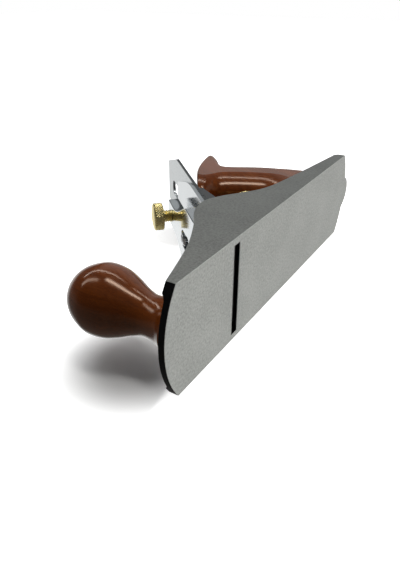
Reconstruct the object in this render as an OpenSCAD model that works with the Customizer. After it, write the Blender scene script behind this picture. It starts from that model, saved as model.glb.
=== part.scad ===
// A metal bench plane for smoothing wood, standing on its sole.
// X runs to the toe, Y to the plane's left, Z up from the sole, in millimetres.

/* [Body casting] */
// Length from the toe to the tip of the heel lug
body_length = 249; // [235:1:270]
// Width of the sole
body_width = 61; // [60:0.5:66]
// Thickness of the sole
sole_thickness = 3.4; // [3:0.1:4.2]
// Thickness of each cheek
cheek_thickness = 3.5; // [3:0.1:3.8]
// Height of the cheeks at their hump
cheek_height = 39.8; // [34:0.5:44]
// Height of the cheeks at the toe
toe_height = 5.2; // [4.5:0.1:8]
// Height of the cheeks near the heel
heel_height = 7.7; // [7:0.1:12]
// Distance of the hump behind the mouth
hump_setback = 32; // [26:0.5:38]
// Radius of the curve across the toe and the heel
end_radius = 52; // [46:1:80]
// Radius of the lug behind the heel
lug_radius = 12; // [9:0.5:14]
// Distance that the lug stands out behind the heel
lug_reach = 7.2; // [4:0.2:9]

/* [Mouth] */
// Distance from the tip of the heel lug to the rear edge of the mouth
mouth_place = 182; // [178:0.5:188]
// Width of the mouth along the sole
mouth_gap = 5; // [4.6:0.1:6]
// Length of the mouth across the sole
mouth_length = 53.2; // [52.4:0.1:53.6]

/* [Frog] */
// Angle of the bed to the sole
bed_angle = 45; // [44:0.5:46]
// Width of the frog
frog_width = 44; // [42:0.5:46]
// Distance from the sole to the top of the bed, along the bed
bed_top = 95.5; // [94:0.5:98]
// Thickness of the bed
bed_thickness = 5; // [4.5:0.1:5.5]
// Height of the frog's seat above the sole
seat_height = 12; // [11.5:0.1:13]
// Travel of the frog towards the toe
frog_travel = 1.2; // [0.6:0.1:1.5]

/* [Blade and cap iron] */
// Width of the blade
blade_width = 50.8; // [49:0.1:51.2]
// Thickness of the blade
blade_thickness = 2.1; // [1.9:0.1:2.4]
// Height of the blade's top end above the sole, along the bed
blade_top = 184; // [176:1:190]
// Height of the cutting edge above the sole when the blade is drawn in
edge_lift = 0.5; // [0.3:0.1:0.8]
// Width of the slot in the blade
slot_width = 11.1; // [10.6:0.1:11.6]
// Travel of the blade each way from rest
blade_travel = 1; // [0.5:0.1:1.1]
// Width of the cap iron
cap_iron_width = 50.4; // [47:0.2:50.8]
// Thickness of the cap iron
cap_iron_thickness = 2.5; // [2.2:0.1:2.8]

/* [Lever cap] */
// Width of the lever cap at its lower end
cap_width = 45; // [43:0.5:47]
// Width of the boss at its upper end
boss_width = 16; // [15:0.5:18]
// Height of its front face over the bed
cap_front = 15; // [14.5:0.1:16]
// Diameter of the thumb screw's head
thumb_diameter = 18.8; // [17:0.2:22]
// Diameter of the thumb screw's stem
thumb_stem = 8.4; // [7:0.1:9]

/* [Knob] */
// Height of the knob
knob_height = 62.6; // [58:0.2:68]
// Largest diameter of the knob
knob_diameter = 38.4; // [36:0.2:42]
// Diameter of the knob's foot
knob_foot = 30.8; // [28:0.2:32]
// Distance from the toe to the knob's axis
knob_setback = 22; // [20:0.5:23]

/* [Tote] */
// Height of the tote from its foot to the tip of its horn
tote_height = 114; // [106:1:118]
// Width of the tote
tote_width = 25; // [22:0.5:27]

/* [Depth wheel] */
// Diameter of the depth wheel
wheel_diameter = 30; // [28:0.5:32]
// Diameter of the stud that it runs on
stud_diameter = 7; // [6.5:0.1:7.4]

/* [Hidden] */

fine = 96;
joint_gap = 0.3;
run_gap = 0.05;
cut = 1;

toe_x = body_length / 2;
lug_tip = -body_length / 2;
heel_x = lug_tip + lug_reach;
half_width = body_width / 2;
inner_half = half_width - cheek_thickness;
mouth_rear = lug_tip + mouth_place;
mouth_front = mouth_rear + mouth_gap;
bed_gap = 0.25;
bed_x = mouth_rear + bed_gap;
cos_bed = cos(bed_angle);
sin_bed = sin(bed_angle);

// Plan curve: how far the toe and heel curves fall back at the cheeks
end_fall = end_radius - sqrt(pow(end_radius, 2) - pow(half_width, 2));
toe_corner = toe_x - end_fall;
heel_corner = heel_x + end_fall;
heel_corner_radius = 6.5;
casting_fillet = 5;

// Cheek outline: distance ahead of the hump, and share of the cheek's height
hump_x = mouth_rear - hump_setback;
hump_shape = [[57, 0.387], [33, 0.668], [22, 0.84], [13, 0.945], [0, 1], [-11, 0.895],
              [-21, 0.73], [-31, 0.57], [-44, 0.45], [-67, 0.362]];
cheek_end = heel_corner - 1.2;

// Raised places inside the casting
knob_x = toe_x - knob_setback;
knob_seat = 6.8;
knob_boss_radius = 12.5;
lug_x = lug_tip + lug_radius;
seat_rear = bed_x - 48.75;
seat_front = bed_x - 21.75;
seat_width = frog_width + 2;
front_rib_setback = 4;
front_rib_width = 6;
front_rib_height = sole_thickness + 2;

// Frog: places along the bed and behind it
frog_sole_gap = 0.4;
frog_base = 4;
frog_base_rear = seat_rear - 1;
bed_foot = (seat_height + frog_base + 2 * cos_bed) / sin_bed;
web_width = 3.5;
web_top_depth = 4.5;
web_knee_depth = 8.1;
web_knee_drop = 17.5;
web_knee = bed_top - web_knee_drop;
web_foot_x = bed_x - 39.25;
frog_screw_x = bed_x - 26.75;
frog_screw_y = 11;
frog_screw_radius = 3;
frog_screw_head = 5;
access_radius = 6.4;
washer_radius = 5.8;
washer_thickness = 1.2;

// Places along the bed, counted from where the bed meets the sole
cap_iron_screw_s = 52;
lever_screw_s = 67;
finger_s = 84;
lateral_s = 91.5;
disc_s = 103;
lateral_recess = 2.4;
lateral_half = 4.2;
thumb_s = 106;

// Depth adjuster
stud_z = 43;
stud_front_x = bed_x - 60.75;
stud_rear_x = stud_front_x - 43;
stud_boss_radius = 7;
stud_boss_rear = stud_front_x - 9;
pivot_x = stud_front_x - 10;
pivot_z = 56.5;
pivot_pin_radius = 1.6;
lug_inner = 6.4;
lug_width = 3.4;
finger_half = 1.5;
finger_width = 6;
finger_reach = 4.4;
prong_x = pivot_x - 20;
prong_thickness = 2.6;
prong_inner = 9;
prong_outer = 11.5;
prong_tip_z = 41;
yoke_low = 54.9;
yoke_high = 59.5;
groove_width = 5.6;
groove_radius = 8.4;
flange_width = 2;
flange_radius = 10.2;
rim_width = 6.2;
dish_radius = 10;

// Frog adjusting screw, behind the frog's seat
adjust_z = 8;
adjust_radius = 2.5;
clip_thickness = 1.6;
clip_x = frog_base_rear - clip_thickness - 2;
clip_lug_rear = clip_x + clip_thickness;
collar_radius = 3.4;
head_radius = 4.2;
neck_radius = 1.7;
clip_gap = 0.2;
clip_screw_z = 20;
clip_screw_radius = 2;
clip_lug_height = 24;
clip_lug_half = 8;

// Blade and cap iron
blade_edge = edge_lift / sin_bed - blade_thickness * cos_bed / sin_bed;
bevel_angle = 25;
blade_clip = 32;
blade_clip_half = 15.5;
slot_low = 42;
slot_high = 167;
slot_eye_radius = 8.5;
cap_iron_top = 135;
cap_iron_crest = [[0, 44], [0.6, 37], [2.3, 29], [5.4, 18], [11.2, 0]];
hump_length = 18;
hump_rise = 2.6;
cap_iron_tip = 0.5;
cap_screw_head = 6.5;
cap_screw_head_thickness = 3;
cap_screw_radius = 3.9;
iron_front = blade_thickness + cap_iron_thickness;

// Lever cap
cap_back = 8;
cap_lip_back = 7.5;
cap_low = 9;
cap_lip_thickness = 1.8;
cap_slope_end = 36;
cap_top = 117;
cap_wall = 3;
cap_roof = 3.5;
cap_recess = 1.7;
lever_screw_radius = 3;
lever_screw_head = 4.8;
lever_screw_end = -7;
lever_screw_travel = 12;
cap_eye_radius = 6.3;
thumb_head_low = 21;
thumb_head_thickness = 7;

// Handles
stud_radius = 3.2;
nut_radius = 6;
nut_depth = 4.5;
tote_seat = 5.4;
tote_foot_x = lug_tip + 17.5;
tote_lean = 17;
toe_screw_x = lug_tip + 77.5;
toe_screw_low = 7;
toe_screw_access = 30;
tote_rail = 10;
toe_screw_radius = 2.4;
toe_screw_head = 4.8;

function out_x(n, s) = bed_x - s * cos_bed + n * sin_bed;
function out_z(n, s) = s * sin_bed + n * cos_bed;
function along(n, s) = [out_x(n, s), out_z(n, s)];
function bend(a, b, c, d, t) = 0.5 * (2 * b + (c - a) * t + (2 * a - 5 * b + 4 * c - d) * t * t
                                      + (3 * b - a - 3 * c + d) * t * t * t);
function spline(p, steps) = concat(
    [for (i = [0 : len(p) - 2], k = [0 : steps - 1])
        bend(p[max(i - 1, 0)], p[i], p[i + 1], p[min(i + 2, len(p) - 1)], k / steps)],
    [p[len(p) - 1]]);
function arc(centre, radius, from, to, steps) =
    [for (k = [0 : steps]) let (a = from + (to - from) * k / steps)
        centre + radius * [cos(a), sin(a)]];
function mirrored(p) = concat(p, [for (k = [len(p) - 1 : -1 : 0]) [-p[k][0], p[k][1]]]);

// The bed's own frame: X out of the bed, Y across, Z up the bed
module on_bed() translate([bed_x, 0, 0]) rotate([0, bed_angle - 90, 0]) children();
// An outline seen from the side, given a width across the plane
module across(width) rotate([90, 0, 0]) linear_extrude(width, center = true) children();
// An outline seen from the front, given a thickness backwards along X
module facing(thickness) rotate([90, 0, 90]) linear_extrude(thickness) children();
module rod_x(radius, from, to) translate([from, 0, 0]) rotate([0, 90, 0])
    cylinder(h = to - from, r = radius, $fn = fine);
module slot_outline(radius, low, high) {
    translate([0, low]) circle(radius, $fn = fine);
    translate([0, high]) circle(radius, $fn = fine);
    translate([-radius, low]) square([2 * radius, high - low]);
}

module plan() {
    intersection() {
        translate([heel_x, -half_width]) square([body_length - lug_reach, body_width]);
        union() {
            translate([toe_x - end_radius, 0]) circle(end_radius, $fn = 4 * fine);
            translate([heel_x + end_radius, 0]) circle(end_radius, $fn = 4 * fine);
            translate([heel_x + end_radius, -half_width])
                square([body_length - lug_reach - 2 * end_radius, body_width]);
        }
    }
}

module cheek_outline() {
    crest = concat([[toe_corner, toe_height]],
                   [for (h = hump_shape) [hump_x + h[0], cheek_height * h[1]]],
                   [[cheek_end + 14, heel_height + 0.7], [cheek_end + heel_corner_radius, heel_height]]);
    polygon(concat([[toe_x, 0], [toe_x, toe_height]], spline(crest, 6),
                   arc([cheek_end + heel_corner_radius, heel_height - heel_corner_radius],
                       heel_corner_radius, 100, 180, 6),
                   [[cheek_end, 0]]));
}

module channel() {
    half = inner_half;
    r = casting_fillet;
    translate([-half, sole_thickness + r]) square([2 * half, cheek_height + cut]);
    translate([r - half, sole_thickness]) square([2 * (half - r), r + cut]);
    for (side = [-1, 1])
        translate([side * (half - r), sole_thickness + r]) circle(r, $fn = fine);
}

module mouth_cut() {
    across(mouth_length)
        polygon([[mouth_front, -cut], [mouth_front, sole_thickness + casting_fillet + cut],
                 [mouth_rear - (sole_thickness + casting_fillet + cut) * cos_bed / sin_bed,
                  sole_thickness + casting_fillet + cut],
                 [mouth_rear + cut * cos_bed / sin_bed, -cut]]);
}

module tote_axis() translate([tote_foot_x, 0, tote_seat]) rotate([0, tote_lean, 0]) children();

module body() color([0.45, 0.46, 0.46]) difference() {
    union() {
        linear_extrude(sole_thickness) plan();
        difference() {
            intersection() {
                linear_extrude(cheek_height + cut) plan();
                across(body_width) cheek_outline();
            }
            translate([-body_length, 0, 0]) facing(2 * body_length) channel();
        }
        translate([lug_x, 0, 0]) cylinder(h = tote_seat, r = lug_radius, $fn = fine);
        translate([knob_x, 0, 0]) cylinder(h = knob_seat, r = knob_boss_radius, $fn = fine);
        translate([mouth_front + front_rib_setback, -inner_half - cut / 2, 0])
            cube([front_rib_width, 2 * inner_half + cut, front_rib_height]);
        translate([seat_rear, -seat_width / 2, 0])
            cube([seat_front - seat_rear, seat_width, seat_height]);
        translate([tote_foot_x, 0, 0]) cylinder(h = tote_seat, r = tote_width / 2 - 1, $fn = fine);
        translate([toe_screw_x, 0, 0]) cylinder(h = tote_seat, r = 8, $fn = fine);
        translate([tote_foot_x, -tote_rail / 2, 0])
            cube([toe_screw_x - tote_foot_x, tote_rail, tote_seat]);
    }
    mouth_cut();
    translate([knob_x, 0, 1.2]) cylinder(h = knob_seat, r = stud_radius + run_gap, $fn = fine);
    tote_axis() translate([0, 0, -3.4]) cylinder(h = 12, r = stud_radius + run_gap, $fn = fine);
    translate([toe_screw_x, 0, 1.2]) cylinder(h = tote_seat, r = toe_screw_radius + run_gap, $fn = fine);
    for (side = [-1, 1]) translate([frog_screw_x, side * frog_screw_y, 3])
        cylinder(h = seat_height, r = frog_screw_radius + run_gap, $fn = fine);
    translate([0, 0, adjust_z]) rod_x(adjust_radius + run_gap, seat_rear - cut, seat_rear + 18);
}

module frog_web() {
    across(web_width) polygon([
        along(0, 18), along(0, bed_top), along(-web_top_depth, bed_top - 0.5),
        along(-web_knee_depth, web_knee), [web_foot_x, seat_height + frog_base],
        [frog_base_rear, seat_height + frog_base], [frog_base_rear, seat_height],
        [seat_front, seat_height]]);
}

module yoke_lug() {
    across(lug_width) union() {
        translate([pivot_x, pivot_z]) circle(4.5, $fn = fine);
        polygon([along(-3, 81), along(-3, bed_top), along(-10.5, bed_top - 1.2), along(-14, 87.5)]);
    }
}

module frog() color([0.2, 0.2, 0.21]) difference() {
    union() {
        intersection() {
            on_bed() translate([-bed_thickness, -frog_width / 2, 0])
                cube([bed_thickness, frog_width, bed_top]);
            translate([-body_length, -body_width, sole_thickness + frog_sole_gap])
                cube([2 * body_length, 2 * body_width, 2 * body_length]);
        }
        for (side = [-1, 1]) translate([0, side * (frog_width - web_width) / 2, 0]) frog_web();
        across(frog_width) polygon([[frog_base_rear, seat_height],
                                    [frog_base_rear, seat_height + frog_base],
                                    along(-2, bed_foot), along(-2, bed_foot - 5),
                                    [seat_front, seat_height]]);
        translate([0, 0, stud_z]) rod_x(stud_boss_radius, stud_boss_rear, stud_front_x + 12);
        across(5) polygon([[clip_lug_rear, clip_lug_height], [clip_lug_rear, seat_height + 1],
                           [web_foot_x + 8, seat_height + 1], along(-4, 50),
                           [stud_boss_rear + 1, stud_z], [stud_boss_rear + 1, stud_z - 5]]);
        translate([clip_lug_rear, -clip_lug_half, seat_height])
            cube([8, 2 * clip_lug_half, clip_lug_height - seat_height]);
        for (side = [-1, 1]) translate([0, side * (lug_inner + lug_width / 2), 0]) yoke_lug();
    }
    on_bed() {
        translate([-bed_thickness - cut, 0, 0]) facing(bed_thickness + 2 * cut) {
            slot_outline(cap_screw_head + 1, cap_iron_screw_s - blade_travel - 0.5,
                         cap_iron_screw_s + blade_travel + 0.5);
            translate([-finger_width / 2 - joint_gap, finger_s - 2.6])
                square([finger_width + 2 * joint_gap, 5.1]);
        }
        translate([-lateral_recess, -6, lateral_s - lateral_half - joint_gap])
            cube([lateral_recess + cut, 12, bed_top]);
        translate([0, 0, lateral_s]) rod_x(1.5 + run_gap, -bed_thickness - cut, cut);
        translate([0, 0, lever_screw_s]) rod_x(lever_screw_radius + run_gap, lever_screw_end - cut, cut);
    }
    for (side = [-1, 1]) translate([0, side * frog_screw_y, 0]) {
        translate([0, 0, seat_height + frog_base])
            linear_extrude(60) rotate(90)
                slot_outline(access_radius, -frog_screw_x, frog_travel - frog_screw_x);
        translate([0, 0, seat_height - cut]) linear_extrude(frog_base + 2 * cut)
            rotate(90) slot_outline(frog_screw_radius + joint_gap, -frog_screw_x - joint_gap,
                                    frog_travel - frog_screw_x);
    }
    translate([0, 0, stud_z]) rod_x(stud_diameter / 2 + run_gap, stud_boss_rear - cut, stud_front_x);
    translate([pivot_x, 0, pivot_z]) across(frog_width) circle(pivot_pin_radius + run_gap, $fn = fine);
    translate([0, 0, clip_screw_z]) 
        rod_x(clip_screw_radius + run_gap, clip_lug_rear - cut, clip_lug_rear + 7);
}

module frog_screws() color([0.6, 0.6, 0.62]) for (side = [-1, 1])
    translate([frog_screw_x, side * frog_screw_y, 0]) {
        translate([0, 0, 4]) cylinder(h = seat_height + frog_base + washer_thickness - 4,
                                      r = frog_screw_radius, $fn = fine);
        translate([0, 0, seat_height + frog_base + washer_thickness])
            difference() {
                cylinder(h = 4, r = frog_screw_head, $fn = fine);
                translate([-frog_screw_head - cut, -0.6, 2.6]) cube([2 * frog_screw_head + 2 * cut, 1.2, 3]);
            }
    }

module frog_screw_washers() color([0.55, 0.55, 0.57]) for (side = [-1, 1])
    translate([frog_screw_x, side * frog_screw_y, seat_height + frog_base]) difference() {
        cylinder(h = washer_thickness, r = washer_radius, $fn = fine);
        translate([0, 0, -cut]) cylinder(h = washer_thickness + 2 * cut,
                                         r = frog_screw_radius + run_gap, $fn = fine);
    }

module frog_clip() color([0.5, 0.5, 0.52]) difference() {
    translate([clip_x, 0, 0]) facing(clip_thickness) difference() {
        translate([-6, adjust_z - 3.4]) square([12, clip_lug_height - adjust_z + 2.4]);
        translate([0, adjust_z]) circle(neck_radius + clip_gap, $fn = fine);
        translate([-neck_radius - clip_gap, 0]) square([2 * (neck_radius + clip_gap), adjust_z]);
    }
    translate([0, 0, clip_screw_z]) rod_x(clip_screw_radius + run_gap, clip_x - cut, frog_base_rear);
}

module frog_clip_screw() color([0.6, 0.6, 0.62]) translate([0, 0, clip_screw_z]) difference() {
    union() {
        rod_x(clip_screw_radius, clip_x, clip_lug_rear + 6);
        rod_x(3.5, clip_x - 2.4, clip_x);
    }
    translate([clip_x - 3.4, -5, -0.5]) cube([2, 10, 1]);
}

module frog_adjusting_screw() color([0.6, 0.6, 0.62]) translate([0, 0, adjust_z]) difference() {
    union() {
        rod_x(adjust_radius, clip_lug_rear + 1, clip_lug_rear + 18);
        rod_x(collar_radius, clip_lug_rear + clip_gap, clip_lug_rear + 1.5);
        rod_x(neck_radius, clip_x - clip_gap - cut, clip_lug_rear + 1);
        rod_x(head_radius, clip_x - 4, clip_x - clip_gap);
    }
    translate([clip_x - 5, -6, -0.6]) cube([2.6, 12, 1.2]);
}

module blade() color([0.8, 0.81, 0.82]) on_bed() difference() {
    facing(blade_thickness) difference() {
        polygon(mirrored([[blade_width / 2, blade_edge],
                          [blade_width / 2, blade_top - blade_clip],
                          [blade_clip_half, blade_top]]));
        slot_outline(slot_width / 2, slot_low, slot_high - slot_width / 2);
        translate([0, slot_low]) circle(slot_eye_radius, $fn = fine);
    }
    translate([blade_thickness, 0, blade_edge]) rotate([0, bevel_angle, 0])
        translate([-3 * blade_thickness, -blade_width, -blade_thickness])
            cube([3 * blade_thickness, 2 * blade_width, 6 * blade_thickness]);
}

// The cap iron's lower end, from the flat down to the tip: [height out of the bed, place]
function hump_front() = spline([[iron_front, hump_length + 2], [iron_front + 0.8, hump_length - 4],
    [iron_front + 2.1, hump_length - 9], [iron_front + hump_rise - 0.1, 7],
    [iron_front + 1.5, 3.6], [blade_thickness + 1.4, 1.4], [blade_thickness, cap_iron_tip]], 4);
function hump_rear() = spline([[blade_thickness, cap_iron_tip + 1.4], [blade_thickness + 1.6, 4.4],
    [blade_thickness + 2.4, 8.2], [blade_thickness + 1.7, hump_length - 7.5],
    [blade_thickness + 0.6, hump_length - 2.5], [blade_thickness, hump_length + 2]], 4);

module cap_iron() color([0.75, 0.76, 0.78]) on_bed() difference() {
    intersection() {
        across(cap_iron_width + 2 * cut) polygon(concat(
            [[blade_thickness, cap_iron_top], [iron_front, cap_iron_top]], hump_front(), hump_rear()));
        facing(2 * cap_front) polygon(mirrored(concat([[cap_iron_width / 2, 0]],
            [for (c = spline(cap_iron_crest, 4)) [cap_iron_width / 2 - c[0], cap_iron_top - c[1]]])));
    }
    facing(2 * cap_front) {
        slot_outline(lever_screw_radius + 1.1, lever_screw_s - blade_travel - 0.4,
                     lever_screw_s + blade_travel + 0.4);
        translate([0, cap_iron_screw_s]) circle(cap_screw_radius + run_gap, $fn = fine);
        translate([-finger_width / 2 - 0.4, finger_s - finger_half - joint_gap])
            square([finger_width + 0.8, 2 * (finger_half + joint_gap)]);
    }
}

module cap_iron_screw() color([0.6, 0.6, 0.62]) on_bed() translate([0, 0, cap_iron_screw_s])
    difference() {
        union() {
            rod_x(cap_screw_head, -cap_screw_head_thickness, 0);
            rod_x(cap_screw_radius, -cut, iron_front + 0.6);
        }
        translate([-cap_screw_head_thickness - cut, -10, -0.8]) cube([cut + 1.4, 20, 1.6]);
    }

// A solid skinned over rings of points, each ring counter-clockwise seen from the last ring's side
// and the same on both sides of the middle plane, so that the ends close in strips
module skin(rings) {
    m = len(rings[0]);
    last = (len(rings) - 1) * m;
    sides = [for (i = [0 : len(rings) - 2], j = [0 : m - 1], half = [0, 1])
        let (a = i * m + j, b = i * m + (j + 1) % m) half == 0 ? [a, a + m, b + m] : [a, b + m, b]];
    first_end = [for (j = [0 : m / 2 - 2], half = [0, 1])
        half == 0 ? [j, j + 1, m - 2 - j] : [j, m - 2 - j, m - 1 - j]];
    last_end = [for (f = first_end) [last + f[2], last + f[1], last + f[0]]];
    polyhedron([for (r = rings, p = r) p], concat(first_end, sides, last_end));
}

// Lever cap outline: place along the bed, and share of the way from boss width to full width
cap_side = [[cap_low + 5, 1], [56, 1], [64.2, 0.897], [70.3, 0.71], [76.2, 0.49], [80.9, 0.335],
            [85.5, 0.2], [90, 0.095], [95, 0.03], [101, 0], [cap_top - 6, 0]];
function cap_half(share, inset) = boss_width / 2 + share * (cap_width - boss_width) / 2 - inset;
function cap_ring(inset) = concat(
    [[cap_half(1, inset) - 1.6, cap_low + inset], [cap_half(1, inset) - 0.5, cap_low + inset + 0.8]],
    spline([for (c = cap_side) [cap_half(c[1], inset), c[0]]], 4),
    [[cap_half(0, inset), cap_top - inset - 1.2], [cap_half(0, inset) - 0.35, cap_top - inset - 0.35],
     [cap_half(0, inset) - 1.2, cap_top - inset]]);
function cap_level(n, inset) = [for (p = mirrored(cap_ring(inset))) [n, p[0], p[1]]];

module lever_cap() color([0.85, 0.86, 0.88]) on_bed() difference() {
    intersection() {
        skin([cap_level(cap_lip_back - cut, 0), cap_level(cap_front - 0.6, 0), cap_level(cap_front, 0.6)]);
        across(2 * cap_width) polygon([
            [cap_back, cap_low + 5], [cap_lip_back, cap_low + 4], [cap_lip_back, cap_low - 1],
            [cap_lip_back + cap_lip_thickness, cap_low - 1], [cap_front, cap_slope_end],
            [cap_front + cut, cap_slope_end + 4], [cap_front + cut, cap_top + 1], [cap_back, cap_top + 1]]);
    }
    intersection() {
        across(2 * cap_width) polygon([
            [cap_back - cut, cap_low + 6], [cap_back + 0.4, cap_low + 6],
            [cap_front - cap_roof, cap_slope_end - 1], [cap_front - cap_roof, 97], [cap_back - cut, 97]]);
        translate([cap_back - cut, 0, 0]) facing(cap_front) polygon(mirrored(cap_ring(cap_wall)));
    }
    facing(2 * cap_front) {
        slot_outline(lever_screw_radius + 0.4, lever_screw_s - lever_screw_travel, lever_screw_s);
        translate([0, lever_screw_s - lever_screw_travel]) circle(cap_eye_radius, $fn = fine);
    }
    translate([cap_front - cap_recess, 0, 0]) facing(cap_front)
        slot_outline(lever_screw_head + 0.8, lever_screw_s - lever_screw_travel, lever_screw_s);
    translate([0, 0, thumb_s]) rod_x(thumb_stem / 2 + run_gap, 0, cap_front + cut);
}

module lever_cap_screw() color([0.7, 0.7, 0.72]) on_bed() translate([0, 0, lever_screw_s])
    difference() {
        union() {
            rod_x(lever_screw_radius, lever_screw_end, cap_front);
            translate([cap_front - cap_recess, 0, 0]) rotate([0, 90, 0]) rotate_extrude($fn = fine)
                polygon([[0, 0], [lever_screw_head, 0], [lever_screw_head, 1.2],
                         [lever_screw_head - 1.2, 2.3], [lever_screw_head - 2.8, 2.8], [0, 3]]);
        }
        translate([cap_front + 0.5, -7, -0.7]) cube([4, 14, 1.4]);
    }

module thumb_screw() color([0.8, 0.65, 0.3]) on_bed() translate([iron_front + run_gap, 0, thumb_s])
    rotate([0, 90, 0]) rotate_extrude($fn = fine) {
        low = thumb_head_low - iron_front;
        top = low + thumb_head_thickness;
        polygon([[0, 0], [2.6, 0], [thumb_stem / 2, 1.2], [thumb_stem / 2, low - 1.4],
                 [thumb_stem / 2 + 1.6, low - 0.9], [thumb_diameter / 2 - 1.4, low],
                 [thumb_diameter / 2, low + 0.9], [thumb_diameter / 2, top - 1.4],
                 [thumb_diameter / 2 - 1, top - 0.5], [thumb_diameter / 2 - 3, top + 0.2], [0, top + 0.7]]);
    }

module depth_stud() color([0.6, 0.6, 0.62]) translate([0, 0, stud_z])
    rod_x(stud_diameter / 2, stud_rear_x, stud_front_x - 0.4);

module depth_wheel() color([0.8, 0.65, 0.3]) translate([prong_x, 0, stud_z]) rotate([0, 90, 0])
    rotate_extrude($fn = fine) {
        bore = stud_diameter / 2 + run_gap;
        rim = wheel_diameter / 2;
        back = -groove_width / 2 - rim_width;
        front = groove_width / 2;
        polygon([[bore, back + 1], [bore + 1, back], [dish_radius - 1, back],
                 [dish_radius, back + 1.2], [rim - 3.4, back + 1.2], [rim - 2.4, back],
                 [rim - 0.8, back], [rim, back + 0.8], [rim, -front - 0.8],
                 [rim - 0.8, -front], [groove_radius + 0.6, -front], [groove_radius, -front + 0.6],
                 [groove_radius, front - 0.6], [groove_radius + 0.6, front], [flange_radius - 0.5, front],
                 [flange_radius, front + 0.5], [flange_radius, front + flange_width - 0.5],
                 [flange_radius - 0.5, front + flange_width], [bore, front + flange_width]]);
    }

module yoke() color([0.4, 0.4, 0.41]) difference() {
    union() {
        across(finger_width) polygon([
            along(finger_reach, finger_s - finger_half), along(finger_reach, finger_s + finger_half),
            along(-6.3, finger_s + finger_half), along(-7.2, 88), along(-13, 87.4),
            along(-10.5, finger_s - 0.5), along(-7, finger_s - finger_half)]);
        across(2 * lug_inner - 2 * joint_gap) {
            translate([pivot_x, pivot_z]) circle(3.8, $fn = fine);
            polygon([[pivot_x, pivot_z + 3.8], [prong_x, yoke_high], [prong_x, yoke_low],
                     [pivot_x - 2.6, pivot_z - 2.7]]);
        }
        translate([prong_x - prong_thickness / 2, 0, 0]) facing(prong_thickness) difference() {
            union() {
                translate([0, yoke_high - prong_outer]) circle(prong_outer, $fn = fine);
                translate([-prong_outer, prong_tip_z])
                    square([2 * prong_outer, yoke_high - prong_outer - prong_tip_z]);
            }
            slot_outline(prong_inner, prong_tip_z - 2 * prong_inner, yoke_low - prong_inner);
        }
    }
    translate([pivot_x, 0, pivot_z]) across(body_width) circle(pivot_pin_radius + run_gap, $fn = fine);
}

module yoke_pin() color([0.6, 0.6, 0.62]) translate([pivot_x, 0, pivot_z])
    across(2 * (lug_inner + lug_width) + 0.8) circle(pivot_pin_radius, $fn = fine);

// Lateral lever seen from the side, from its pivot to the bent end
lateral_bend_s = 128;
lateral_end_s = 172;
lateral_thickness = 2;
lateral_low = -0.2 - lateral_thickness;
module lateral_lever() color([0.35, 0.35, 0.36]) on_bed() difference() {
    intersection() {
        across(frog_width) polygon([
            [-0.2, lateral_s - lateral_half], [-0.2, lateral_bend_s], [-3, lateral_end_s - 14],
            [-2.6, lateral_end_s], [-2.6 - lateral_thickness, lateral_end_s],
            [-3 - lateral_thickness, lateral_end_s - 14], [lateral_low, lateral_bend_s - 1],
            [lateral_low, lateral_s - lateral_half]]);
        translate([-20, 0, 0]) facing(30) union() {
            translate([0, lateral_s]) circle(lateral_half, $fn = fine);
            polygon(mirrored([[lateral_half, lateral_s], [lateral_half, lateral_end_s - 18],
                              [7.5, lateral_end_s - 11], [7.5, lateral_end_s - 7.5]]));
            translate([0, lateral_end_s - 7.5]) circle(7.5, $fn = fine);
        }
    }
    translate([0, 0, lateral_s]) rod_x(1.5 + run_gap, -5, 5);
    translate([0, 0, disc_s]) rod_x(1.5, -5, 5);
}

module lateral_pivot() color([0.55, 0.55, 0.57]) on_bed() translate([0, 0, lateral_s]) {
    rod_x(1.5, -bed_thickness, 0);
    translate([-0.15, 0, 0]) rotate([0, 90, 0]) rotate_extrude($fn = fine)
        polygon([[0, 0], [3, 0], [3, 0.5], [2.2, 1.2], [0, 1.5]]);
}

module lateral_disc() color([0.6, 0.6, 0.62]) on_bed() translate([0, 0, disc_s]) {
    rod_x(4.1, -0.2, blade_thickness - 0.2);
    rod_x(1.5, -0.2 - lateral_thickness, 0);
}

// Knob shape: height above its foot, and radius
knob_shape = [[0, 15.4], [1.8, 15.3], [3.4, 14.3], [5.2, 13.2], [7, 12.4], [9.5, 11.6], [12.5, 11],
              [15, 10.75], [17.5, 10.85], [20.5, 11.6], [25, 13.3], [30, 15.6], [35.5, 17.8], [39.5, 18.8],
              [43.5, 19.2], [46.8, 19], [50.2, 18], [53.7, 16.5], [56.7, 14.7], [59.4, 12.4],
              [61.4, 9.9], [62.6, 7.6]];
module knob() color([0.35, 0.14, 0.06]) translate([knob_x, 0, knob_seat]) {
    h = knob_height / 62.6;
    foot = knob_foot / 30.8;
    ball = knob_diameter / 38.4;
    rim = spline([for (k = knob_shape) [k[1] * (k[0] < 6 ? foot : ball), k[0] * h]], 2);
    rotate_extrude($fn = 128) difference() {
        polygon(concat([[0, 0]], rim, [[0, knob_height]]));
        translate([-cut, -cut]) square([stud_radius + 0.4 + cut, knob_height + 2 * cut]);
        translate([0, knob_height - nut_depth - 0.6])
            square([nut_radius + 0.4, nut_depth + cut + 0.6]);
    }
}

module nut() rotate_extrude($fn = fine) {
    polygon([[stud_radius + run_gap, 0], [nut_radius, 0], [nut_radius, nut_depth - 0.9],
             [nut_radius - 0.7, nut_depth - 0.2], [stud_radius + 1.4, nut_depth],
             [stud_radius + run_gap, nut_depth - 0.6]]);
}

module knob_nut() color([0.8, 0.65, 0.3])
    translate([knob_x, 0, knob_seat + knob_height - nut_depth - 0.6]) nut();

module knob_stud() color([0.6, 0.6, 0.62]) translate([knob_x, 0, 1.4])
    cylinder(h = knob_seat + knob_height - 2.6, r = stud_radius, $fn = fine);

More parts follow.
